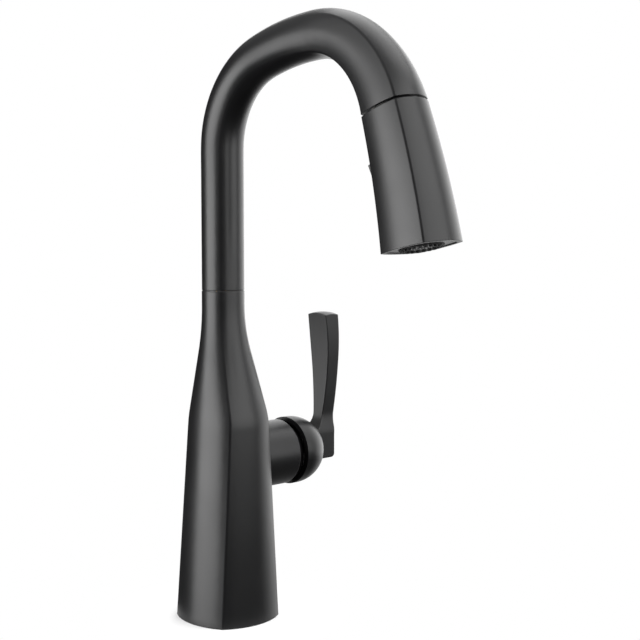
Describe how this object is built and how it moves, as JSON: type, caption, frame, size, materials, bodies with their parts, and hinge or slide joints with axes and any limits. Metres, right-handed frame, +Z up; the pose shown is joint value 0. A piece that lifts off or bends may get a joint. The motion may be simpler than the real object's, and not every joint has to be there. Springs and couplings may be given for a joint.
{
  "type": "single-handle pull-down faucet",
  "caption": "Pull-down faucet with a creased tapered column, swivelling bent spout, docked spray wand with a rear toggle, and a side lever that sets flow and temperature.",
  "frame": {"origin": "where the spout's swivel axis meets the top of the deck", "axes": "+Z up along the swivel axis, -Y towards the spout's outlet, +X towards the lever"},
  "size_m": [0.1129, 0.2027, 0.4064],
  "materials": {
    "satin_black_metal": "satin",
    "satin_black_plastic": "satin",
    "brass": "turned",
    "stainless_steel": "brushed",
    "magnet_nickel": "plated",
    "ceramic": "lapped",
    "white_plastic": "moulded",
    "grey_plastic": "moulded",
    "black_acetal": "moulded",
    "black_rubber": "matte",
    "nozzle_rubber": "matte",
    "hose_braid": "braided"
  },
  "bodies": {
    "column": {"body_shell": "satin_black_metal", "hub_sleeve": "satin_black_metal", "bonnet_cap": "satin_black_plastic", "bonnet_nut": "brass", "valve_housing": "brass", "cartridge_case": "grey_plastic", "case_o_ring": "black_rubber", "disc_seal": "black_rubber", "fixed_disc": "ceramic", "upper_swivel_bush": "white_plastic", "lower_swivel_bush": "white_plastic", "glide_ring": "black_acetal", "base_gasket": "black_rubber", "mounting_shank": "brass", "deck_seal_washer": "black_rubber", "clamp_washer": "stainless_steel", "mounting_nut": "brass"},
    "carrier": {"stem_carrier": "white_plastic", "stem_pin": "stainless_steel"},
    "slider": {"moving_disc": "ceramic", "disc_driver": "white_plastic"},
    "handle": {"valve_stem": "stainless_steel", "lever_handle": "satin_black_metal", "handle_set_screw": "stainless_steel", "set_screw_plug": "black_rubber"},
    "spout": {"spout_tube": "satin_black_metal", "swivel_shank": "brass", "retaining_clip": "stainless_steel", "dock_collar": "grey_plastic", "dock_magnet": "magnet_nickel", "pullout_hose": "hose_braid", "hose_end_fitting": "brass"},
    "wand": {"wand_shell": "satin_black_plastic", "strike_ring": "stainless_steel", "wand_neck": "grey_plastic", "neck_o_ring": "black_rubber", "diverter_body": "grey_plastic", "check_valve": "white_plastic", "toggle_pin": "stainless_steel", "spray_chamber": "grey_plastic", "face_plate": "satin_black_plastic", "nozzle_ring": "nozzle_rubber", "aerator": "satin_black_plastic"},
    "toggle": {"spray_toggle": "satin_black_plastic"},
    "spool": {"diverter_spool": "grey_plastic", "spool_seals": "black_rubber"}
  },
  "joints": [
    {"name": "spout_swivel", "type": "hinge", "parent": "column", "child": "spout", "pos_m": [0, 0, 0.1947], "axis": [0, 0, 1], "range_deg": [-180, 180]},
    {"name": "handle_temperature", "type": "hinge", "parent": "column", "child": "carrier", "pos_m": [0.034, -0.0035, 0.0938], "axis": [1, 0, 0], "range_deg": [-50, 50]},
    {"name": "handle_flow", "type": "hinge", "parent": "carrier", "child": "handle", "pos_m": [0.034, -0.0035, 0.0938], "axis": [0, 1, 0], "range_deg": [0, 22]},
    {"name": "disc_slide", "type": "slide", "parent": "carrier", "child": "slider", "axis": [0, 0, 1], "range_m": [0, 0.00421]},
    {"name": "wand_pull", "type": "slide", "parent": "spout", "child": "wand", "axis": [0, -0.319, -0.9478], "range_m": [0, 0.2], "stiffness_N_per_m": 10, "springref_m": -0.45, "deforming": ["pullout_hose"]},
    {"name": "toggle_rock", "type": "hinge", "parent": "wand", "child": "toggle", "pos_m": [0, -0.13625, 0.25414], "axis": [1, 0, 0], "range_deg": [0, 8]},
    {"name": "spool_slide", "type": "slide", "parent": "wand", "child": "spool", "axis": [0, -0.319, -0.9478], "range_m": [0, 0.00112]}
  ],
  "couplings": [
    {"joint": "disc_slide", "follows": "handle_flow", "m_per_rad": 0.010439},
    {"joint": "toggle_rock", "follows": "spool_slide", "rad_per_m": 125}
  ]
}
